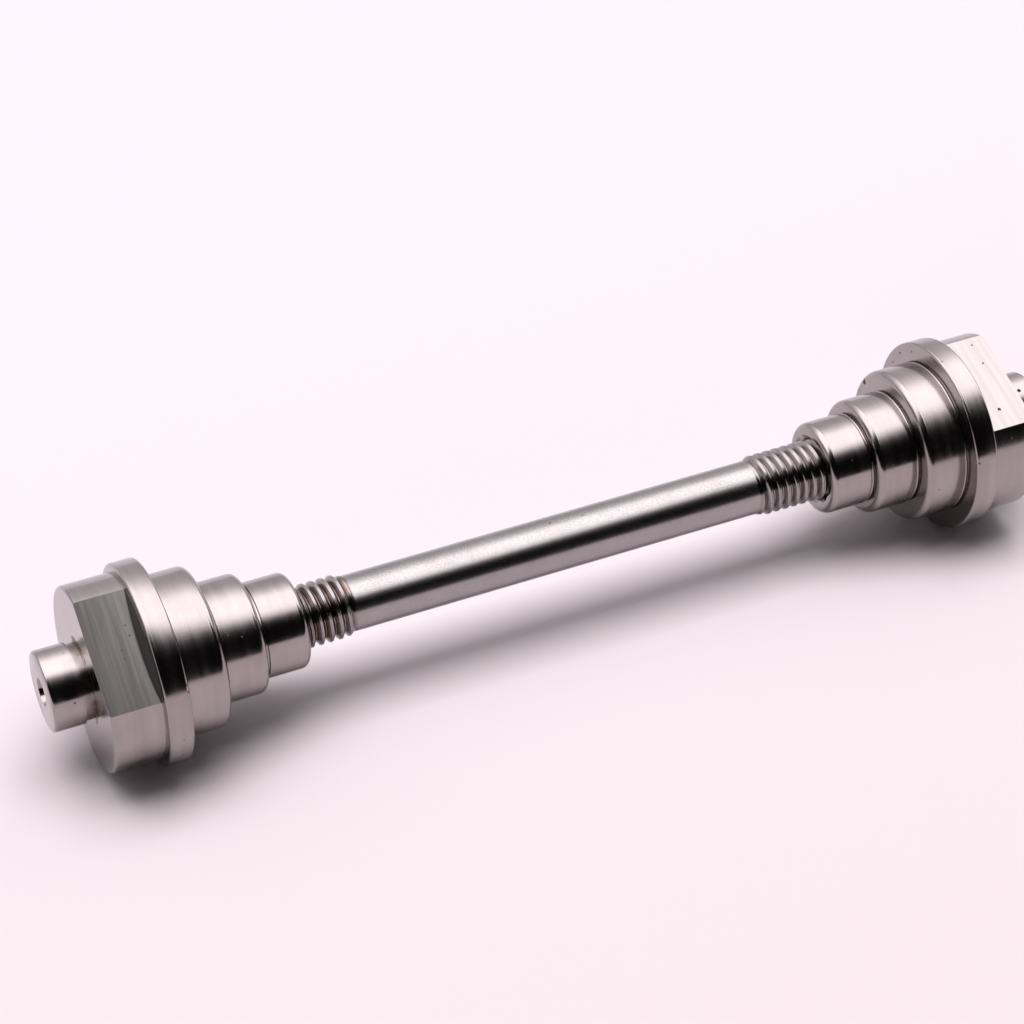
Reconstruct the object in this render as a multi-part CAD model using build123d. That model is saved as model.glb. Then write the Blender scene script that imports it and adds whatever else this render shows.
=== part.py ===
from build123d import *
import math
import os

# A thru-axle hub arbor: a rod with a thread at each end, and a stepped end piece screwed on each thread.
# The shaft lies along X, with the origin on its axis, midway between the two inner faces. Z is up.
# Lengths are in millimetres. Both end pieces are one design, drawn with its inner face at x = 0 and its
# journal towards +X.

# Hub steps, from the inner face outwards
step_1_diameter = 12.0
step_1_length = 5.9
step_2_diameter = 15.0
step_2_length = 5.7
step_3_diameter = 20.0
step_3_length = 5.6
step_edge_radius = 0.9

# Relief groove at the foot of each step and of the journal
step_groove_width = 0.45
step_groove_depth = 0.25
journal_groove_width = 1.2
journal_groove_depth = 0.3

# Flange, wrench body and journal
flange_diameter = 25.0
flange_length = 3.1
body_diameter = 23.0
body_length = 6.4
wrench_size = 18.0
journal_diameter = 10.0
journal_length = 5.1
edge_chamfer = 0.35

# Centre-drilled hole in the journal's end
centre_hole_diameter = 2.5
centre_hole_depth = 2.6
centre_mouth_diameter = 3.6
centre_mouth_angle = 60.0

# Thread, drawn as a plain cylinder on its crests
thread_diameter = 8.0
thread_length = 22.0
thread_end_chamfer = 0.6
thread_clearance = 0.05

# Threaded hole in the inner face
hole_depth = 23.5
mouth_diameter = 9.2
mouth_angle = 90.0
drill_point_angle = 118.0

# Rod
shank_diameter = 7.0
shank_length = 54.6

# Where the end pieces stand on the rod
inner_gap = 71.0
left_exposed_thread = 7.0
left_flat_angle = 35.0
right_flat_angle = 18.0

# Derived sizes
steps_length = step_1_length + step_2_length + step_3_length
flange_start = steps_length
body_start = flange_start + flange_length
journal_start = body_start + body_length
end_length = journal_start + journal_length
hole_radius = thread_diameter / 2 + thread_clearance
shank_start = left_exposed_thread - inner_gap / 2
shank_end = shank_start + shank_length


def cylinder_x(diameter, start, length):
    """A solid cylinder on the X axis, from x = start."""
    circle = Plane.YZ.offset(start) * Circle(diameter / 2)
    return extrude(circle, length)


def cone_x(start_diameter, end_diameter, start, length):
    """A solid cone on the X axis, from x = start."""
    centre = start + length / 2
    return Pos(centre, 0, 0) * Rot(0, 90, 0) * Cone(start_diameter / 2, end_diameter / 2, length)


def groove(diameter, shoulder, width, depth):
    """The ring that a relief groove takes out of a cylinder, on the left of a shoulder."""
    start = shoulder - width
    outside = cylinder_x(diameter + 2 * depth, start, width)
    return outside - cylinder_x(diameter - 2 * depth, start, width)


def rim(shape, diameter, station):
    """The round edges of one diameter at one station along X."""
    return [
        edge
        for edge in shape.edges().filter_by(GeomType.CIRCLE)
        if abs(edge.radius - diameter / 2) < 1e-4 and abs(edge.arc_center.X - station) < 1e-4
    ]


def hub_step(diameter, start, length):
    """One hub step with its leading edge rounded and a relief groove at its foot.

    The round edge is turned in two passes: each chord of the quarter circle is one narrow cone.
    """
    radius = diameter / 2
    middle = step_edge_radius * (1 - math.cos(math.radians(45)))
    section = Polyline(
        (start, 0),
        (start, radius - step_edge_radius),
        (start + middle, radius - middle),
        (start + step_edge_radius, radius),
        (start + length, radius),
        (start + length, 0),
        close=True,
    )
    step = revolve(make_face(section), Axis.X)
    return step - groove(diameter, start + length, step_groove_width, step_groove_depth)


def flange():
    """The stop flange with both rims lightly broken."""
    ring = cylinder_x(flange_diameter, flange_start, flange_length)
    return chamfer(rim(ring, flange_diameter, flange_start) + rim(ring, flange_diameter, body_start), edge_chamfer)


def wrench_body():
    """The round body with its outer rim lightly broken and two flats milled across it."""
    body = cylinder_x(body_diameter, body_start, body_length)
    body = chamfer(rim(body, body_diameter, journal_start), edge_chamfer)
    across = Pos(body_start + body_length / 2, 0, 0) * Box(body_length, body_diameter, wrench_size)
    return body & across


def journal():
    """The stub that the stand holds, with its end lightly broken and a relief groove at its root."""
    stub = cylinder_x(journal_diameter, journal_start, journal_length)
    stub = chamfer(rim(stub, journal_diameter, end_length), edge_chamfer)
    ring = groove(journal_diameter, journal_start + journal_groove_width, journal_groove_width, journal_groove_depth)
    return stub - ring


def threaded_hole():
    """The blind hole on the thread's crests, with a countersunk mouth and a drill point."""
    mouth_depth = (mouth_diameter / 2 - hole_radius) / math.tan(math.radians(mouth_angle / 2))
    point_depth = hole_radius / math.tan(math.radians(drill_point_angle / 2))
    hole = cylinder_x(2 * hole_radius, 0, hole_depth)
    mouth = cone_x(mouth_diameter, 2 * hole_radius, 0, mouth_depth)
    return hole + mouth + cone_x(2 * hole_radius, 0, hole_depth, point_depth)


def centre_hole():
    """The small hole that a centre drill leaves in the journal's end."""
    mouth_depth = (centre_mouth_diameter - centre_hole_diameter) / 2
    mouth_depth = mouth_depth / math.tan(math.radians(centre_mouth_angle / 2))
    point_depth = centre_hole_diameter / 2 / math.tan(math.radians(drill_point_angle / 2))
    bottom = end_length - centre_hole_depth
    hole = cylinder_x(centre_hole_diameter, bottom, centre_hole_depth)
    mouth = cone_x(centre_hole_diameter, centre_mouth_diameter, end_length - mouth_depth, mouth_depth)
    return hole + mouth + cone_x(0, centre_hole_diameter, bottom - point_depth, point_depth)


def stepped_end():
    """One turned end piece, with its flats facing up and down."""
    piece = hub_step(step_1_diameter, 0, step_1_length)
    piece += hub_step(step_2_diameter, step_1_length, step_2_length)
    piece += hub_step(step_3_diameter, step_1_length + step_2_length, step_3_length)
    piece += flange() + wrench_body() + journal()
    return piece - threaded_hole() - centre_hole()


def threaded_rod():
    """The middle rod: a plain shank with a larger thread at each end."""
    start = shank_start - thread_length
    end = shank_end + thread_length
    rod = cylinder_x(shank_diameter, shank_start, shank_length)
    rod += cylinder_x(thread_diameter, start, thread_length)
    rod += cylinder_x(thread_diameter, shank_end, thread_length)
    return chamfer(rim(rod, thread_diameter, start) + rim(rod, thread_diameter, end), thread_end_chamfer)


def right_end():
    """The end piece on the right, turned so that its flat leans towards -Y."""
    return Pos(inner_gap / 2, 0, 0) * Rot(right_flat_angle, 0, 0) * stepped_end()


def left_end():
    """The same piece on the left, facing the other way."""
    return Pos(-inner_gap / 2, 0, 0) * Rot(left_flat_angle, 0, 0) * Rot(0, 0, 180) * stepped_end()


def write(name, shape):
    """Write one piece as a STEP file named after it."""
    shape.label = name
    export_step(shape, f"parts/{name}.step")


os.makedirs("parts", exist_ok=True)
write("threaded_rod", threaded_rod())
write("left_stepped_end", left_end())
write("right_stepped_end", right_end())
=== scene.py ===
# %% [markdown]
# # A stepped hub arbor
# This lesson dresses a small turned steel shaft: a rod with a thread at each end, and a stepped end piece
# screwed on each thread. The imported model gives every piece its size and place. Here the rod gets real
# threads, the end pieces are drawn again with true round edges, and the whole lies on a pale studio floor.

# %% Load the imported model
import math

import bmesh
import bpy
from mathutils import Matrix, Vector


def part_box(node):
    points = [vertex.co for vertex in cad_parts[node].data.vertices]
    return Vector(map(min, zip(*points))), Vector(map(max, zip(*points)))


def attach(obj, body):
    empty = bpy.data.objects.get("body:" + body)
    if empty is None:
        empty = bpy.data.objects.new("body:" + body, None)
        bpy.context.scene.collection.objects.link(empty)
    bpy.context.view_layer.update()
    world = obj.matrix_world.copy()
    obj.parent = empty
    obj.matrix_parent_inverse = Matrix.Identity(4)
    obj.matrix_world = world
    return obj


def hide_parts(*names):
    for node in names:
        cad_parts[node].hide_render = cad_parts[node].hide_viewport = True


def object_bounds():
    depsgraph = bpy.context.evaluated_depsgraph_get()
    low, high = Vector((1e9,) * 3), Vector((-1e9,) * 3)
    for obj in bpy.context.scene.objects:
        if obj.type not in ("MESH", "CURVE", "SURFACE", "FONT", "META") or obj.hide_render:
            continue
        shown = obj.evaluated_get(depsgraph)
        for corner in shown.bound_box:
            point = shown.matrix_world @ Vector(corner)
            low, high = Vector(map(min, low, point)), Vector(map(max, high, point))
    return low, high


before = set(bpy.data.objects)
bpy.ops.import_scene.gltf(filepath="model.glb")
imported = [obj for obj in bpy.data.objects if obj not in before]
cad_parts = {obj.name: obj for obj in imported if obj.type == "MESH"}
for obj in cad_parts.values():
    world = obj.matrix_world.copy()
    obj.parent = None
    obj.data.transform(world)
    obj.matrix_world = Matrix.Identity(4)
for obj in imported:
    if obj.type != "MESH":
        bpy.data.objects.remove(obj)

MM = 0.001
CAD_LOW, CAD_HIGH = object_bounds()


def deselect_all():
    """Leaves nothing selected and no piece in edit mode."""
    if bpy.context.mode != "OBJECT":
        bpy.ops.object.mode_set(mode="OBJECT")
    bpy.ops.object.select_all(action="DESELECT")


def make_active(piece):
    """Selects one piece alone, so that an operator acts on it and on nothing else."""
    deselect_all()
    piece.select_set(True)
    bpy.context.view_layer.objects.active = piece


def draw_chain(name, points):
    """A new piece that is a chain of edges through the points, started from one merged plane."""
    deselect_all()
    bpy.ops.mesh.primitive_plane_add(size=MM, location=(0, 0, 0))
    piece = bpy.context.object
    piece.name = name
    bpy.ops.object.mode_set(mode="EDIT")
    bpy.ops.mesh.select_mode(type="VERT")
    bpy.ops.mesh.select_all(action="SELECT")
    bpy.ops.mesh.merge(type="CENTER")
    bpy.ops.transform.translate(value=points[0])
    for start, end in zip(points, points[1:]):
        bpy.ops.mesh.extrude_region_move(TRANSFORM_OT_translate={"value": end - start})
    bpy.ops.object.mode_set(mode="OBJECT")
    return piece


def weld(piece, distance):
    """Merges corners that lie within the distance of each other."""
    make_active(piece)
    bpy.ops.object.mode_set(mode="EDIT")
    bpy.ops.mesh.select_all(action="SELECT")
    bpy.ops.mesh.remove_doubles(threshold=distance)
    bpy.ops.object.mode_set(mode="OBJECT")


def signed_volume(piece):
    """The piece's volume, negative where its faces point inwards."""
    mesh = bmesh.new()
    mesh.from_mesh(piece.data)
    volume = mesh.calc_volume(signed=True)
    mesh.free()
    return volume


def face_outwards(piece):
    """Makes a closed piece's faces agree, and turns them outwards."""
    make_active(piece)
    bpy.ops.object.mode_set(mode="EDIT")
    bpy.ops.mesh.select_all(action="SELECT")
    bpy.ops.mesh.normals_make_consistent(inside=False)
    bpy.ops.object.mode_set(mode="OBJECT")
    if signed_volume(piece) < 0:
        bpy.ops.object.mode_set(mode="EDIT")
        bpy.ops.mesh.flip_normals()
        bpy.ops.object.mode_set(mode="OBJECT")


def select_verts(piece, wanted):
    """Leaves edit mode open with just the wanted corners selected."""
    make_active(piece)
    bpy.ops.object.mode_set(mode="EDIT")
    bpy.ops.mesh.select_mode(type="VERT")
    bpy.ops.mesh.select_all(action="DESELECT")
    bpy.ops.object.mode_set(mode="OBJECT")
    for vert in piece.data.vertices:
        vert.select = wanted(vert.co)
    bpy.ops.object.mode_set(mode="EDIT")


print("CAD box", [round(v / MM, 2) for v in CAD_LOW], [round(v / MM, 2) for v in CAD_HIGH])

# %% [markdown]
# ## The rod's threads
# Each end of the rod carries a rolled M8 thread with a pitch of 1.25 mm. Rolling presses the metal up into
# the crests, which leaves them round, with a faint seam along the top.
# A thread could be a bump on a cylinder, but its silhouette would stay straight. So the outline of one pitch
# is drawn with extrude, repeated with an Array, and swept once round with a Screw modifier that also
# advances by one pitch. The neighbouring turns then meet, and form one continuous right-hand helix.

# %% Sizes of the thread
ROD_LOW, ROD_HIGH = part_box("threaded_rod")
PITCH = 1.25 * MM
THREAD_LENGTH = 22.0 * MM
CREST_RADIUS = 3.94 * MM
ROOT_RADIUS = 3.28 * MM
SHANK_RADIUS = 3.5 * MM
SEAM_DEPTH = 0.05 * MM
RUNOUT_LENGTH = 1.5 * MM
END_CHAMFER = 0.7 * MM
TURN_STEPS = 96
SMOOTH_ANGLE = math.radians(40)
# The outline of one pitch: how far along it, and how high from root (0) to crest (1)
RISING_SIDE = [(0.0, 0.0), (0.24, 0.72), (0.31, 0.92), (0.39, 1.0)]
FALLING_SIDE = [(0.53, 1.0), (0.61, 0.92), (0.68, 0.72), (0.92, 0.0), (1.0, 0.0)]
SEAM_AT = 0.46
print("thread turns", round(THREAD_LENGTH / PITCH, 1))

# %% Draw one pitch of the outline
def outline_point(along, height):
    """A point of the outline, in the XZ plane, measured from the rod's left end."""
    return Vector((along * PITCH, 0, ROOT_RADIUS + height * (CREST_RADIUS - ROOT_RADIUS)))


def draw_outline():
    """One pitch of the thread: up one side, down into the seam, and down the other side."""
    seam = outline_point(SEAM_AT, 1.0) - Vector((0, 0, SEAM_DEPTH))
    rising = [outline_point(*point) for point in RISING_SIDE]
    falling = [outline_point(*point) for point in FALLING_SIDE]
    return draw_chain("thread", [*rising, seam, *falling])


thread = draw_outline()
print("outline corners", len(thread.data.vertices))

# %% Repeat it and sweep it round
def sweep_thread(piece):
    """Repeats the outline along the rod and screws it once round, one pitch further."""
    array = piece.modifiers.new("pitches", "ARRAY")
    array.use_relative_offset = False
    array.use_constant_offset = True
    array.constant_offset_displace = (PITCH, 0, 0)
    array.count = math.ceil(THREAD_LENGTH / PITCH) + 3
    array.use_merge_vertices = True
    array.merge_threshold = PITCH / 200
    screw = piece.modifiers.new("turn", "SCREW")
    screw.axis = "X"
    screw.angle = math.tau
    screw.screw_offset = PITCH
    screw.steps = TURN_STEPS
    screw.render_steps = TURN_STEPS
    screw.use_merge_vertices = True
    screw.merge_threshold = PITCH / 200
    make_active(piece)
    bpy.ops.object.modifier_apply(modifier="pitches")
    bpy.ops.object.modifier_apply(modifier="turn")
    weld(piece, PITCH / 200)


sweep_thread(thread)
print("swept corners", len(thread.data.vertices))

# %% [markdown]
# ## Trim, run out and chamfer
# The swept helix is longer than the thread. Two bisect cuts trim it square. Then the last turn fades to the
# shank's radius, as a rolling die leaves it, and the outer end narrows to a chamfer.

# %% Trim and shape one thread
def trim(piece, station, keep_right):
    """Cuts the piece square across at one station and keeps one side."""
    make_active(piece)
    bpy.ops.object.mode_set(mode="EDIT")
    bpy.ops.mesh.select_all(action="SELECT")
    bpy.ops.mesh.bisect(
        plane_co=(station, 0, 0),
        plane_no=(1, 0, 0),
        clear_inner=keep_right,
        clear_outer=not keep_right,
        threshold=PITCH / 10000,
    )
    bpy.ops.object.mode_set(mode="OBJECT")


def smooth_step(t):
    """Rises smoothly from 0 to 1 as t goes from 0 to 1."""
    t = min(max(t, 0.0), 1.0)
    return t * t * (3 - 2 * t)


def shape_ends(piece, outer_end, inner_end):
    """Fades the thread into the shank at its inner end, and chamfers its outer end."""
    for vert in piece.data.vertices:
        radius = math.hypot(vert.co.y, vert.co.z)
        fade = smooth_step((inner_end - vert.co.x) / RUNOUT_LENGTH)
        wanted = SHANK_RADIUS + (radius - SHANK_RADIUS) * fade
        from_end = vert.co.x - outer_end
        wanted = min(wanted, CREST_RADIUS - END_CHAMFER + from_end)
        vert.co.y *= wanted / radius
        vert.co.z *= wanted / radius


def close_end(piece, station):
    """Closes the outer end with a face, inset a little so that it shades flat."""
    select_verts(piece, lambda co: abs(co.x - station) < PITCH / 100)
    bpy.ops.mesh.edge_face_add()
    bpy.ops.mesh.inset(thickness=END_CHAMFER / 4)
    bpy.ops.object.mode_set(mode="OBJECT")


thread.data.transform(Matrix.Translation((ROD_LOW.x - 2 * PITCH, 0, 0)))
trim(thread, ROD_LOW.x, keep_right=True)
trim(thread, ROD_LOW.x + THREAD_LENGTH, keep_right=False)
shape_ends(thread, ROD_LOW.x, ROD_LOW.x + THREAD_LENGTH)
close_end(thread, ROD_LOW.x)
print("left thread from", round(ROD_LOW.x / MM, 2), "to", round((ROD_LOW.x + THREAD_LENGTH) / MM, 2))

# %% [markdown]
# ## The second thread and the shank
# A mirrored copy would be left-handed. The second thread is the first one turned half round about Z, which
# keeps its hand. The plain shank is then bridged between the two open rims.

# %% Copy, turn and bridge
def second_thread(piece):
    """A copy of the thread at the other end of the rod, turned and not mirrored."""
    copy = piece.copy()
    copy.data = piece.data.copy()
    bpy.context.scene.collection.objects.link(copy)
    middle = Matrix.Translation(((ROD_LOW.x + ROD_HIGH.x) / 2, 0, 0))
    copy.data.transform(middle @ Matrix.Rotation(math.pi, 4, "Z") @ middle.inverted())
    return copy


def join_and_bridge(left, right):
    """Joins both threads and bridges the shank between their inner rims, the only open edges left."""
    make_active(left)
    right.select_set(True)
    bpy.ops.object.join()
    make_active(left)
    bpy.ops.object.mode_set(mode="EDIT")
    bpy.ops.mesh.select_mode(type="EDGE")
    bpy.ops.mesh.select_all(action="DESELECT")
    bpy.ops.mesh.select_non_manifold(
        use_wire=False, use_boundary=True, use_multi_face=False, use_non_contiguous=False, use_verts=False
    )
    bpy.ops.mesh.bridge_edge_loops(number_cuts=0)
    face_outwards(left)


join_and_bridge(thread, second_thread(thread))
rod = thread
rod.name = "rod_with_threads"
make_active(rod)
bpy.ops.object.shade_smooth_by_angle(angle=SMOOTH_ANGLE)
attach(rod, "rod")
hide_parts("threaded_rod")
print("rod corners", len(rod.data.vertices))

# %% [markdown]
# ## The stepped end pieces
# Each end piece is turned from one bar: three hub steps, a flange, a body and a journal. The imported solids
# break the edges with narrow cones. Here the outline is drawn again with true round edges and is swept
# round the axis, as a lathe would, and two flats are then milled with a Boolean cut.
# The right piece is drawn first. The left one is the same piece turned half round about Z.

# %% Sizes of an end piece
STEP_DIAMETERS = (12.0 * MM, 15.0 * MM, 20.0 * MM)
STEP_LENGTHS = (5.9 * MM, 5.7 * MM, 5.6 * MM)
STEP_ROUND = 0.9 * MM
STEP_GROOVE = (0.45 * MM, 0.25 * MM)
GROOVE_LIP = 0.06 * MM
GROOVE_ROUND = 0.2 * MM
FLANGE_RADIUS = 12.5 * MM
FLANGE_LENGTH = 3.1 * MM
BODY_RADIUS = 11.5 * MM
BODY_LENGTH = 6.4 * MM
WRENCH_HALF = 9.0 * MM
JOURNAL_RADIUS = 5.0 * MM
JOURNAL_LENGTH = 5.1 * MM
JOURNAL_GROOVE = (1.2 * MM, 0.3 * MM)
EDGE_ROUND = 0.35 * MM
HOLE_RADIUS = 4.05 * MM
HOLE_DEPTH = 23.5 * MM
MOUTH_RADIUS = 4.6 * MM
CENTRE_HOLE_RADIUS = 1.25 * MM
CENTRE_HOLE_DEPTH = 2.6 * MM
CENTRE_MOUTH_RADIUS = 1.8 * MM
DRILL_SLOPE = math.tan(math.radians(31))
CENTRE_CONE_SLOPE = math.tan(math.radians(30))
SWEEP_STEPS = 192
WELD_DISTANCE = MM / 2000
END_SMOOTH_ANGLE = math.radians(30)
FLANGE_START = sum(STEP_LENGTHS)
BODY_START = FLANGE_START + FLANGE_LENGTH
JOURNAL_START = BODY_START + BODY_LENGTH
END_LENGTH = JOURNAL_START + JOURNAL_LENGTH
INNER_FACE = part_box("right_stepped_end")[0].x
LEFT_FLAT_TURN = math.radians(35.0)
RIGHT_FLAT_TURN = math.radians(18.0)
print("end piece length", round(END_LENGTH / MM, 2), "inner face at", round(INNER_FACE / MM, 2))

# %% Draw its outline
def quarter_circle(steps):
    """How far along and how far down a quarter circle of radius 1 is from its corner, point by point."""
    turns = [math.pi / 2 * index / steps for index in range(steps + 1)]
    return [(1 - math.sin(turn), 1 - math.cos(turn)) for turn in turns]


def round_edge(corner_x, corner_r, radius, rising):
    """The points of a quarter circle in a corner. Rising comes off a face, falling goes onto one."""
    steps = 6 if radius > 0.5 * MM else 4
    side = radius if rising else -radius
    points = [(corner_x + side * along, corner_r - radius * down) for along, down in quarter_circle(steps)]
    return points[::-1] if rising else points


def step_outline(start, length, radius):
    """One hub step: round leading edge, wall, and the relief groove at its foot."""
    width, depth = STEP_GROOVE
    foot = start + length
    points = round_edge(start, radius, STEP_ROUND, rising=True)
    bottom = radius - depth
    points += [(foot - width - GROOVE_LIP, radius), (foot - width, bottom)]
    for along, up in quarter_circle(5):
        points.append((foot - GROOVE_ROUND * along, bottom + GROOVE_ROUND * up))
    return points


def end_outline():
    """The whole outline, from the bottom of the threaded hole round to the bottom of the centre hole."""
    outline = [(HOLE_DEPTH + HOLE_RADIUS * DRILL_SLOPE, 0.0), (HOLE_DEPTH, HOLE_RADIUS)]
    outline += [(MOUTH_RADIUS - HOLE_RADIUS, HOLE_RADIUS), (0.0, MOUTH_RADIUS)]
    start = 0.0
    for diameter, length in zip(STEP_DIAMETERS, STEP_LENGTHS):
        outline += step_outline(start, length, diameter / 2)
        start += length
    outline += round_edge(FLANGE_START, FLANGE_RADIUS, EDGE_ROUND, rising=True)
    outline += round_edge(BODY_START, FLANGE_RADIUS, EDGE_ROUND, rising=False)
    outline += [(BODY_START, BODY_RADIUS)]
    outline += round_edge(JOURNAL_START, BODY_RADIUS, EDGE_ROUND, rising=False)
    width, depth = JOURNAL_GROOVE
    outline += [(JOURNAL_START, JOURNAL_RADIUS - depth), (JOURNAL_START + width, JOURNAL_RADIUS - depth)]
    outline += [(JOURNAL_START + width, JOURNAL_RADIUS)]
    outline += round_edge(END_LENGTH, JOURNAL_RADIUS, EDGE_ROUND, rising=False)
    cone = (CENTRE_MOUTH_RADIUS - CENTRE_HOLE_RADIUS) / CENTRE_CONE_SLOPE
    bottom = END_LENGTH - CENTRE_HOLE_DEPTH
    outline += [(END_LENGTH, CENTRE_MOUTH_RADIUS), (END_LENGTH - cone, CENTRE_HOLE_RADIUS)]
    outline += [(bottom, CENTRE_HOLE_RADIUS), (bottom - CENTRE_HOLE_RADIUS * DRILL_SLOPE, 0.0)]
    return outline


OUTLINE_END = end_outline()
print("outline corners", len(OUTLINE_END))

# %% Sweep it round
def turn_end(name):
    """One end piece on the X axis, with its inner face at x = 0."""
    piece = draw_chain(name, [Vector((x, 0, r)) for x, r in OUTLINE_END])
    screw = piece.modifiers.new("turn", "SCREW")
    screw.axis = "X"
    screw.angle = math.tau
    screw.steps = SWEEP_STEPS
    screw.render_steps = SWEEP_STEPS
    screw.use_merge_vertices = True
    screw.merge_threshold = WELD_DISTANCE
    bpy.ops.object.modifier_apply(modifier="turn")
    weld(piece, WELD_DISTANCE)
    face_outwards(piece)
    return piece


def mill_flats(piece):
    """Two parallel flats across the body, cut with one block above and one below."""
    for side in (1, -1):
        deselect_all()
        bpy.ops.mesh.primitive_cube_add(size=1.0, location=(0, 0, 0))
        cutter = bpy.context.object
        bpy.ops.object.mode_set(mode="EDIT")
        bpy.ops.mesh.select_all(action="SELECT")
        length = BODY_LENGTH + MM
        bpy.ops.transform.resize(value=(length, 4 * BODY_RADIUS, BODY_RADIUS))
        middle = BODY_START + 0.01 * MM + length / 2
        bpy.ops.transform.translate(value=(middle, 0, side * (WRENCH_HALF + BODY_RADIUS / 2)))
        bpy.ops.object.mode_set(mode="OBJECT")
        cut = piece.modifiers.new("flat", "BOOLEAN")
        cut.operation = "DIFFERENCE"
        cut.object = cutter
        cut.solver = "EXACT"
        make_active(piece)
        bpy.ops.object.modifier_apply(modifier="flat")
        bpy.data.objects.remove(cutter, do_unlink=True)


def finish_end(piece, place, body, node):
    """Puts an end piece in its place, shades it and hands it to the frame."""
    piece.data.transform(place)
    make_active(piece)
    bpy.ops.object.shade_smooth_by_angle(angle=END_SMOOTH_ANGLE)
    weighted = piece.modifiers.new("weighted", "WEIGHTED_NORMAL")
    weighted.keep_sharp = True
    bpy.ops.object.modifier_apply(modifier="weighted")
    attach(piece, body)
    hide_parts(node)


right_end = turn_end("right_end_piece")
mill_flats(right_end)
left_end = right_end.copy()
left_end.data = right_end.data.copy()
left_end.name = "left_end_piece"
bpy.context.scene.collection.objects.link(left_end)
AWAY = Matrix.Translation((INNER_FACE, 0, 0))
RIGHT_PLACE = AWAY @ Matrix.Rotation(RIGHT_FLAT_TURN, 4, "X")
LEFT_PLACE = Matrix.Rotation(LEFT_FLAT_TURN, 4, "X") @ Matrix.Rotation(math.pi, 4, "Z") @ AWAY
finish_end(right_end, RIGHT_PLACE, "right_end", "right_stepped_end")
finish_end(left_end, LEFT_PLACE, "left_end", "left_stepped_end")
print("end piece corners", len(right_end.data.vertices))
print("end piece volume in mm3", round(signed_volume(right_end) / MM**3, 1))

# %% [markdown]
# ## Turned steel
# A lathe leaves fine rings round the axis. On a cylinder they change only along X, and on an end face only
# with the distance from the axis. A noise read at (X, radius) therefore follows both, and the rounded edges
# between them too. The group below gives that noise as a height, with slower bands and blotches as masks.

# %% Node helpers
def link(tree, source, target):
    """Joins two sockets."""
    tree.links.new(source, target)


def maths(tree, operation, first, second=None, third=None):
    """A Math node whose inputs are sockets or numbers. Returns its output."""
    node = tree.nodes.new("ShaderNodeMath")
    node.operation = operation
    for index, value in enumerate((first, second, third)):
        if value is None:
            continue
        if isinstance(value, (int, float)):
            node.inputs[index].default_value = value
        else:
            link(tree, value, node.inputs[index])
    return node.outputs[0]


def vector_of(tree, x, y, z):
    """A Combine XYZ node whose inputs are sockets or numbers. Returns its output."""
    node = tree.nodes.new("ShaderNodeCombineXYZ")
    for index, value in enumerate((x, y, z)):
        if isinstance(value, (int, float)):
            node.inputs[index].default_value = value
        else:
            link(tree, value, node.inputs[index])
    return node.outputs[0]


def noise(tree, vector, scale, detail=2.0, roughness=0.5):
    """A Noise Texture's value, between 0 and 1."""
    node = tree.nodes.new("ShaderNodeTexNoise")
    node.inputs["Scale"].default_value = scale
    node.inputs["Detail"].default_value = detail
    node.inputs["Roughness"].default_value = roughness
    link(tree, vector, node.inputs["Vector"])
    return node.outputs["Fac"]


def remap(tree, value, low, high, new_low, new_high, smooth=True):
    """Maps one range to another and stops at its ends."""
    node = tree.nodes.new("ShaderNodeMapRange")
    node.interpolation_type = "SMOOTHSTEP" if smooth else "LINEAR"
    node.clamp = True
    for name, number in (("From Min", low), ("From Max", high), ("To Min", new_low), ("To Max", new_high)):
        node.inputs[name].default_value = number
    link(tree, value, node.inputs["Value"])
    return node.outputs["Result"]


def mix_colour(tree, mask, first, second):
    """Mixes two colours by a mask. Returns the colour output."""
    node = tree.nodes.new("ShaderNodeMix")
    node.data_type = "RGBA"
    link(tree, mask, node.inputs["Factor"])
    for socket, value in ((node.inputs[6], first), (node.inputs[7], second)):
        if isinstance(value, tuple):
            socket.default_value = (*value, 1.0)
        else:
            link(tree, value, socket)
    return node.outputs[2]


def mix_value(tree, mask, first, second):
    """Mixes two values by a mask. Returns the value output."""
    node = tree.nodes.new("ShaderNodeMix")
    link(tree, mask, node.inputs[0])
    link(tree, first, node.inputs[2])
    link(tree, second, node.inputs[3])
    return node.outputs[0]


def object_place(tree):
    """The object coordinate, which moves with the piece."""
    return tree.nodes.new("ShaderNodeTexCoord").outputs["Object"]


def split_vector(tree, vector):
    """A vector's X, Y and Z."""
    node = tree.nodes.new("ShaderNodeSeparateXYZ")
    link(tree, vector, node.inputs[0])
    return node.outputs


def new_group(name, inputs, outputs):
    """An empty shader group with number sockets. Returns its tree, input node and output node."""
    tree = bpy.data.node_groups.new(name, "ShaderNodeTree")
    for label, default in inputs:
        socket = tree.interface.new_socket(label, in_out="INPUT", socket_type="NodeSocketFloat")
        socket.default_value = default
    for label in outputs:
        tree.interface.new_socket(label, in_out="OUTPUT", socket_type="NodeSocketFloat")
    return tree, tree.nodes.new("NodeGroupInput"), tree.nodes.new("NodeGroupOutput")


def place_group(tree, group, **values):
    """Puts a group in a material and sets its inputs. Returns the node."""
    node = tree.nodes.new("ShaderNodeGroup")
    node.node_tree = group
    for name, value in values.items():
        node.inputs[name.replace("_", " ").capitalize()].default_value = value
    return node


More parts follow.
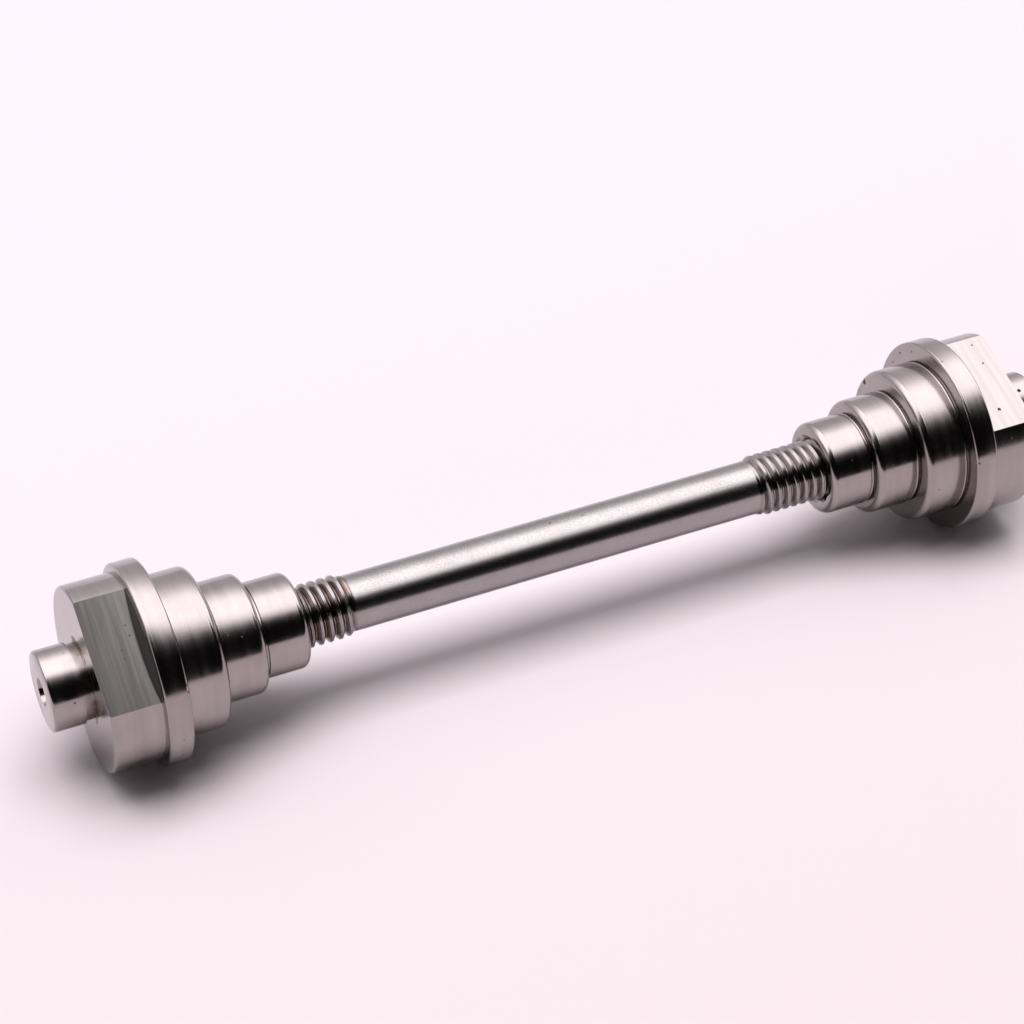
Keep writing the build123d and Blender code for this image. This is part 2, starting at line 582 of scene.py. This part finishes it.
# %% The turning-marks group
def turning_marks():
    """Rings left by a lathe, as a height, with slower bands and blotches as masks."""
    spacings = [("Ring spacing", 0.1 * MM), ("Band spacing", 1.0 * MM)]
    tree, given, result = new_group("turning marks", spacings, ["Rings", "Bands", "Blotches", "Radius"])
    place = object_place(tree)
    x, y, z = split_vector(tree, place)
    across = vector_of(tree, 0.0, y, z)
    length = tree.nodes.new("ShaderNodeVectorMath")
    length.operation = "LENGTH"
    link(tree, across, length.inputs[0])
    radius = length.outputs["Value"]
    angle = maths(tree, "ARCTAN2", y, z)
    drift = maths(tree, "MULTIPLY", angle, 0.35)
    ring_place = vector_of(
        tree,
        maths(tree, "DIVIDE", x, given.outputs["Ring spacing"]),
        maths(tree, "DIVIDE", radius, given.outputs["Ring spacing"]),
        drift,
    )
    band_place = vector_of(
        tree,
        maths(tree, "DIVIDE", x, given.outputs["Band spacing"]),
        maths(tree, "DIVIDE", radius, given.outputs["Band spacing"]),
        drift,
    )
    link(tree, noise(tree, ring_place, 1.0, 3.0, 0.6), result.inputs["Rings"])
    link(tree, noise(tree, band_place, 1.0, 2.0, 0.6), result.inputs["Bands"])
    link(tree, noise(tree, place, 260.0, 4.0, 0.6), result.inputs["Blotches"])
    link(tree, radius, result.inputs["Radius"])
    return tree


TURNING_MARKS = turning_marks()
print("group", TURNING_MARKS.name)

# %% The pit and speck groups
def pit_group():
    """1 inside one ragged pit, placed by its middle and its radius."""
    tree, given, result = new_group("pit", [("X", 0.0), ("Y", 0.0), ("Z", 0.0), ("Size", 0.0003)], ["Mask"])
    place = object_place(tree)
    middle = vector_of(tree, *given.outputs[:3])
    distance = tree.nodes.new("ShaderNodeVectorMath")
    distance.operation = "DISTANCE"
    link(tree, place, distance.inputs[0])
    link(tree, middle, distance.inputs[1])
    ragged = noise(tree, place, 2600.0)
    edge = maths(tree, "MULTIPLY", given.outputs["Size"], maths(tree, "ADD", ragged, 0.5))
    mask = remap(tree, maths(tree, "DIVIDE", distance.outputs["Value"], edge), 0.75, 1.1, 1.0, 0.0)
    link(tree, mask, result.inputs["Mask"])
    return tree


def speck_group():
    """1 on small specks, a few to a square centimetre."""
    tree, given, result = new_group("specks", [("Scale", 700.0), ("Size", 0.09), ("Share", 0.3)], ["Mask"])
    place = object_place(tree)
    cells = tree.nodes.new("ShaderNodeTexVoronoi")
    link(tree, place, cells.inputs["Vector"])
    link(tree, given.outputs["Scale"], cells.inputs["Scale"])
    near = maths(tree, "LESS_THAN", cells.outputs["Distance"], given.outputs["Size"])
    luck = tree.nodes.new("ShaderNodeSeparateColor")
    link(tree, cells.outputs["Color"], luck.inputs[0])
    chosen = maths(tree, "LESS_THAN", luck.outputs[0], given.outputs["Share"])
    link(tree, maths(tree, "MULTIPLY", near, chosen), result.inputs["Mask"])
    return tree


PIT = pit_group()
SPECKS = speck_group()


def place_pits(tree, pits):
    """Puts one pit group for each pit and joins their masks. A pit is its X, Y, Z and radius in mm."""
    total = None
    for x, y, z, size in pits:
        node = place_group(tree, PIT, X=x * MM, Y=y * MM, Z=z * MM, Size=size * MM)
        mask = node.outputs["Mask"]
        total = mask if total is None else maths(tree, "MAXIMUM", total, mask)
    return total


print("groups", PIT.name, SPECKS.name)

# %% Colours of the steel
STEEL = (0.345, 0.326, 0.328)
STEEL_DULL = (0.30, 0.281, 0.283)
STEEL_PALE = (0.375, 0.357, 0.359)
END_DULL = (0.31, 0.279, 0.278)
END_PALE = (0.37, 0.335, 0.334)
STEEL_MILLED = (0.295, 0.273, 0.274)
# Dark brown for the thread roots and the journal's root: partly a real brown film, partly painted shade in
# those recesses
GRIME_AND_SHADE = (0.15, 0.105, 0.088)
PIT_DARK = (0.03, 0.026, 0.026)
print("steel", STEEL)

# %% [markdown]
# ## The end pieces' finish
# The steel is satin, and sharper on the cylinders than on the milled flats, where the cutter left streaks
# across the flat.

# %% Material of the end pieces
def principled(name):
    """A new material with one Principled shader. Returns the material, its tree and the shader."""
    material = bpy.data.materials.new(name)
    material.use_nodes = True
    tree = material.node_tree
    return material, tree, tree.nodes["Principled BSDF"]


def bump(tree, height, distance, strength=1.0, normal=None):
    """A Bump node from a height. Returns its normal."""
    node = tree.nodes.new("ShaderNodeBump")
    node.inputs["Strength"].default_value = strength
    node.inputs["Distance"].default_value = distance
    link(tree, height, node.inputs["Height"])
    if normal is not None:
        link(tree, normal, node.inputs["Normal"])
    return node.outputs["Normal"]


def flat_mask(tree, radius, body_start, body_end):
    """1 on the two milled flats: inside the body's radius, between its two ends."""
    inside = maths(tree, "LESS_THAN", radius, BODY_RADIUS - 0.03 * MM)
    outward = maths(tree, "ABSOLUTE", split_vector(tree, object_place(tree))[0])
    after = maths(tree, "GREATER_THAN", outward, body_start + 0.02 * MM)
    before = maths(tree, "LESS_THAN", outward, body_end - 0.02 * MM)
    return maths(tree, "MULTIPLY", maths(tree, "MULTIPLY", inside, after), before), outward


# Where the bar's pores were cut open: X, Y, Z and radius in mm
END_PITS = [
    (47.1, 7.55, 5.40, 0.42),
    (47.1, 8.6, 3.3, 0.13),
    (52.7, 8.28, 7.87, 0.15),
    (52.7, 5.61, 9.84, 0.13),
    (52.7, 9.70, 5.47, 0.14),
    (58.58, -6.85, 7.24, 0.22),
    (60.12, 0.07, 9.49, 0.13),
    (65.08, -1.70, 4.70, 0.24),
    (-64.61, -4.81, 1.35, 0.12),
]


def end_steel(name, body_start, body_end):
    """Satin turned steel with milled flats. The flats' streaks run across the shaft."""
    material, tree, shader = principled(name)
    marks = place_group(tree, TURNING_MARKS, ring_spacing=0.00009, band_spacing=0.0012)
    mask, outward = flat_mask(tree, marks.outputs["Radius"], body_start, body_end)
    place = object_place(tree)
    stretch = tree.nodes.new("ShaderNodeVectorMath")
    stretch.operation = "MULTIPLY"
    stretch.inputs[1].default_value = (1700.0, 70.0, 70.0)
    link(tree, place, stretch.inputs[0])
    streaks = noise(tree, stretch.outputs["Vector"], 1.0, 3.0, 0.55)
    tone = maths(tree, "ADD", maths(tree, "MULTIPLY", marks.outputs["Bands"], 0.55),
                 maths(tree, "MULTIPLY", marks.outputs["Blotches"], 0.45))
    turned = mix_colour(tree, remap(tree, tone, 0.3, 0.7, 0.0, 1.0), END_DULL, END_PALE)
    milled = mix_colour(tree, remap(tree, streaks, 0.3, 0.7, 0.0, 0.7), STEEL_MILLED, STEEL)
    clean = mix_colour(tree, mask, turned, milled)
    specks = place_group(tree, SPECKS, scale=700.0, size=0.1, share=0.16).outputs["Mask"]
    # Painted shade in the corner and groove at the journal's root, mixed with stain patches: dark brown,
    # darkest at the body's end face and fading out along the journal
    root = remap(tree, outward, body_end - 0.05 * MM, body_end + 1.3 * MM, 1.0, 0.0)
    past = maths(tree, "GREATER_THAN", outward, body_end - 0.05 * MM)
    near = maths(tree, "LESS_THAN", marks.outputs["Radius"], JOURNAL_RADIUS + 0.5 * MM)
    patch = remap(tree, marks.outputs["Blotches"], 0.42, 0.6, 0.0, 0.9)
    stain_and_shade = maths(tree, "MULTIPLY", maths(tree, "MULTIPLY", root, past), maths(tree, "MULTIPLY", near, patch))
    stained_and_shaded = mix_colour(tree, stain_and_shade, clean, GRIME_AND_SHADE)
    pits = maths(tree, "MAXIMUM", place_pits(tree, END_PITS), maths(tree, "MULTIPLY", specks, 0.7))
    link(tree, mix_colour(tree, pits, stained_and_shaded, PIT_DARK), shader.inputs["Base Color"])
    rough_turned = remap(tree, marks.outputs["Bands"], 0.3, 0.7, 0.13, 0.20)
    rough_milled = remap(tree, streaks, 0.3, 0.7, 0.09, 0.12)
    rough = mix_value(tree, mask, rough_turned, rough_milled)
    dull = maths(tree, "MULTIPLY", maths(tree, "MAXIMUM", pits, stain_and_shade), 0.3)
    link(tree, maths(tree, "ADD", rough, dull), shader.inputs["Roughness"])
    height = mix_value(tree, mask, marks.outputs["Rings"], maths(tree, "MULTIPLY", streaks, 0.35))
    fine = bump(tree, height, 0.0022 * MM)
    sunk = bump(tree, maths(tree, "SUBTRACT", 1.0, pits), 0.08 * MM, normal=fine)
    link(tree, sunk, shader.inputs["Normal"])
    shader.inputs["Metallic"].default_value = 1.0
    return material


def dress(piece, material):
    """Gives a piece one material in every slot."""
    piece.data.materials.clear()
    piece.data.materials.append(material)


END_STEEL = end_steel("end steel", INNER_FACE + BODY_START, INNER_FACE + JOURNAL_START)
for piece in (left_end, right_end):
    dress(piece, END_STEEL)
print("end pieces dressed")

# %% [markdown]
# ## The rod's finish
# The shank is drawn bar, a little brighter than the ends. Down the thread's flanks to the roots the colour
# turns dark brown:
# partly a brown film of old cutting oil in patches, stronger towards the left end, and partly painted shade
# in the roots, so the colour depends on the distance from the axis.

# %% Material of the rod
# Small nicks on the shank: X, Y, Z and radius in mm
ROD_NICKS = [(-1.56, 0.07, 3.5, 0.13), (2.73, -0.14, 3.5, 0.1)]


def rod_steel():
    """Drawn steel on the shank, and on the threads bright crests between roots darkened brown by an oil film
    and by painted shade.
    """
    material, tree, shader = principled("rod steel")
    marks = place_group(tree, TURNING_MARKS, ring_spacing=0.00012, band_spacing=0.004)
    place = object_place(tree)
    grain = noise(tree, place, 5200.0, 3.0, 0.6)
    tone = marks.outputs["Blotches"]
    mottle = maths(tree, "ADD", maths(tree, "MULTIPLY", grain, 0.7), maths(tree, "MULTIPLY", tone, 0.3))
    clean = mix_colour(tree, remap(tree, mottle, 0.35, 0.65, 0.0, 1.0), STEEL_DULL, STEEL_PALE)
    # Painted shade: the thread's roots darken to dark brown towards the axis, mixed with a real brown film
    # in patches
    root = remap(tree, marks.outputs["Radius"], 3.35 * MM, 3.9 * MM, 1.0, 0.0)
    shank = maths(tree, "COMPARE", marks.outputs["Radius"], SHANK_RADIUS, 0.012 * MM)
    film_and_shade = maths(tree, "MULTIPLY", root, maths(tree, "SUBTRACT", 1.0, shank))
    film_and_shade = maths(tree, "MULTIPLY", film_and_shade, remap(tree, tone, 0.4, 0.56, 0.45, 1.0))
    along = split_vector(tree, place)[0]
    film_and_shade = maths(tree, "MULTIPLY", film_and_shade, remap(tree, along, -20 * MM, 20 * MM, 1.0, 0.6))
    nicks = place_pits(tree, ROD_NICKS)
    oily_and_shaded = mix_colour(tree, film_and_shade, clean, GRIME_AND_SHADE)
    link(tree, mix_colour(tree, nicks, oily_and_shaded, PIT_DARK), shader.inputs["Base Color"])
    rolled = maths(tree, "MULTIPLY", maths(tree, "SUBTRACT", 1.0, shank), -0.07)
    rough = maths(tree, "ADD", remap(tree, grain, 0.3, 0.7, 0.21, 0.26), rolled)
    link(tree, rough, shader.inputs["Roughness"])
    ring_height = maths(tree, "MULTIPLY", marks.outputs["Rings"], 0.3)
    height = maths(tree, "ADD", ring_height, maths(tree, "MULTIPLY", grain, 0.7))
    fine = bump(tree, height, 0.0011 * MM)
    sunk = bump(tree, maths(tree, "SUBTRACT", 1.0, nicks), 0.05 * MM, normal=fine)
    link(tree, sunk, shader.inputs["Normal"])
    shader.inputs["Metallic"].default_value = 1.0
    return material


dress(rod, rod_steel())
print("rod dressed")

# %% [markdown]
# ## Floor
# The floor is plain, pale and a little rosy, and cooler towards the back. The flanges rest on it, so it lies
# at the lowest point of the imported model. It also gives each cylinder the grey band along its underside.

# %% Floor
FLOOR_BACK = (0.92, 0.88, 0.935)
FLOOR_FRONT = (0.9, 0.815, 0.842)
FLOOR_DRIFT = (-0.08, 0.12)
FLOOR_SIZE = 6.0


def make_floor():
    """A wide pale floor that the flanges rest on."""
    deselect_all()
    bpy.ops.mesh.primitive_plane_add(size=FLOOR_SIZE, location=(0, 0, 0))
    floor = bpy.context.object
    floor.name = "floor"
    bpy.ops.object.mode_set(mode="EDIT")
    bpy.ops.mesh.select_all(action="SELECT")
    bpy.ops.transform.translate(value=(0, 0, CAD_LOW.z))
    bpy.ops.object.mode_set(mode="OBJECT")
    material = bpy.data.materials.new("floor")
    material.use_nodes = True
    tree = material.node_tree
    shader = tree.nodes["Principled BSDF"]
    drift = remap(tree, split_vector(tree, object_place(tree))[1], *FLOOR_DRIFT, 0.0, 1.0)
    link(tree, mix_colour(tree, drift, FLOOR_FRONT, FLOOR_BACK), shader.inputs["Base Color"])
    shader.inputs["Roughness"].default_value = 0.8
    shader.inputs["Specular IOR Level"].default_value = 0.1
    dress(floor, material)
    return floor


make_floor()
print("floor at", round(CAD_LOW.z / MM, 2))

# %% [markdown]
# ## Room
# Polished metal shows its surroundings, so the room matters as much as the steel. It is one long soft light
# over the shaft, grey behind and dark in front, bowed back a little at both ends. That gives each cylinder a
# white band on top and a black band facing the viewer. Rays that are not reflections see it dimmed, because
# at full strength it would light the floor well past its own colour.

# %% The room round the shaft
# How bright the room is at each angle round X, from the floor behind, over the top, to the floor in front
ROOM_STOPS = [
    (-90, 0.68), (-60, 0.82), (-45, 1.10), (-30, 2.00), (-18, 3.10), (20, 3.10), (28, 2.30),
    (36, 0.55), (40, 0.17), (47, 0.04), (56, 0.006), (179, 0.006),
]
ROOM_TINT = (1.0, 0.955, 0.97)
BACKDROP = (0.985, 0.9, 0.965)
ROOM_BRIGHTEST = 3.1
ROOM_MIDDLE = 0.35
ROOM_HALF_LENGTH = 1.5
ROOM_FADE = 0.8
ROOM_END_LEVEL = 0.2
ROOM_BOW = math.radians(18)
ROOM_BOW_AT = 0.18
FLOOR_SHARE = 0.24


def make_room():
    """A world that is one long soft light overhead, bowed back a little at both ends, and dark in front."""
    world = bpy.data.worlds.new("room")
    bpy.context.scene.world = world
    world.use_nodes = True
    tree = world.node_tree
    tree.nodes.clear()
    x, y, z = split_vector(tree, tree.nodes.new("ShaderNodeTexCoord").outputs["Generated"])
    forward = maths(tree, "MULTIPLY", y, -1.0)
    angle = maths(tree, "ARCTAN2", forward, z)
    squares = maths(tree, "ADD", maths(tree, "MULTIPLY", y, y), maths(tree, "MULTIPLY", z, z))
    reach = maths(tree, "MAXIMUM", maths(tree, "SQRT", squares), 0.01)
    slope = maths(tree, "SUBTRACT", maths(tree, "DIVIDE", x, reach), ROOM_MIDDLE)
    part = maths(tree, "MINIMUM", maths(tree, "ABSOLUTE", maths(tree, "DIVIDE", slope, ROOM_BOW_AT)), 1.0)
    bow = maths(tree, "MULTIPLY", maths(tree, "MULTIPLY", part, part), ROOM_BOW)
    turn = remap(tree, maths(tree, "ADD", angle, bow), -math.pi, math.pi, 0.0, 1.0, smooth=False)
    ramp = tree.nodes.new("ShaderNodeValToRGB")
    ramp.color_ramp.interpolation = "LINEAR"
    ramp.color_ramp.elements.remove(ramp.color_ramp.elements[1])
    for index, (degrees, level) in enumerate(ROOM_STOPS):
        position = (degrees + 180) / 360
        element = ramp.color_ramp.elements[0] if index == 0 else ramp.color_ramp.elements.new(position)
        element.position = position
        element.color = (*(level / ROOM_BRIGHTEST * tint for tint in ROOM_TINT), 1.0)
    link(tree, turn, ramp.inputs["Fac"])
    across = maths(tree, "ABSOLUTE", slope)
    far_end = ROOM_HALF_LENGTH + ROOM_FADE
    lit = remap(tree, across, ROOM_HALF_LENGTH, far_end, 1.0, ROOM_END_LEVEL, smooth=False)
    room = tree.nodes.new("ShaderNodeBackground")
    link(tree, ramp.outputs["Color"], room.inputs["Color"])
    light_path = tree.nodes.new("ShaderNodeLightPath")
    share = remap(tree, light_path.outputs["Is Glossy Ray"], 0.0, 1.0, FLOOR_SHARE, 1.0, smooth=False)
    strength = maths(tree, "MULTIPLY", maths(tree, "MULTIPLY", lit, ROOM_BRIGHTEST), share)
    link(tree, strength, room.inputs["Strength"])
    pale = tree.nodes.new("ShaderNodeBackground")
    pale.inputs["Color"].default_value = (*BACKDROP, 1.0)
    mix = tree.nodes.new("ShaderNodeMixShader")
    link(tree, light_path.outputs["Is Camera Ray"], mix.inputs["Fac"])
    link(tree, room.outputs[0], mix.inputs[1])
    link(tree, pale.outputs[0], mix.inputs[2])
    output = tree.nodes.new("ShaderNodeOutputWorld")
    link(tree, mix.outputs[0], output.inputs["Surface"])


make_room()
print("room ready")

# %% [markdown]
# ## Lamp
# A large soft lamp overhead brings the floor back to the level at which its colour shows as written, and
# makes the shadow under the flanges. It stays out of the metal's reflections.

# %% Lamp
LAMP_PLACE = (-0.15, 0.15, 2.7)
LAMP_SIZE = (2.7, 1.8)
LAMP_RADIANCE = 4.2


def make_lamp():
    """A soft area lamp for the floor, which the metal does not mirror."""
    deselect_all()
    bpy.ops.object.light_add(type="AREA", location=LAMP_PLACE)
    lamp = bpy.context.object
    lamp.name = "lamp"
    lamp.data.shape = "RECTANGLE"
    lamp.data.size, lamp.data.size_y = LAMP_SIZE
    lamp.data.energy = math.pi * LAMP_SIZE[0] * LAMP_SIZE[1] * LAMP_RADIANCE
    lamp.data.color = ROOM_TINT
    lamp.visible_glossy = False
    return lamp


make_lamp()
print("lamp radiance", LAMP_RADIANCE)

# %% [markdown]
# ## Camera
# The camera looks down on the shaft from the front left, close enough for a long lens to leave a little
# perspective: the left end looks larger than the right one, which runs out of view.

# %% Camera
CAMERA_TURN = 24.27
CAMERA_RISE = 39.11
CAMERA_DISTANCE = 0.36479
CAMERA_FIELD = 20.115
CAMERA_TARGET = Vector((-0.00319, 0.0079, 0.0))


def make_camera():
    """A long lens aimed at the middle of the shaft."""
    turn, rise = math.radians(CAMERA_TURN), math.radians(CAMERA_RISE)
    back = Vector((-math.sin(turn) * math.cos(rise), -math.cos(turn) * math.cos(rise), math.sin(rise)))
    deselect_all()
    bpy.ops.object.camera_add(location=CAMERA_TARGET + back * CAMERA_DISTANCE)
    camera = bpy.context.object
    camera.rotation_mode = "QUATERNION"
    camera.rotation_quaternion = (-back).to_track_quat("-Z", "Y")
    camera.data.angle = math.radians(CAMERA_FIELD)
    camera.data.clip_start = 0.01
    bpy.context.scene.camera = camera
    return camera


make_camera()
bpy.context.scene.view_settings.view_transform = "Standard"
print("camera ready")
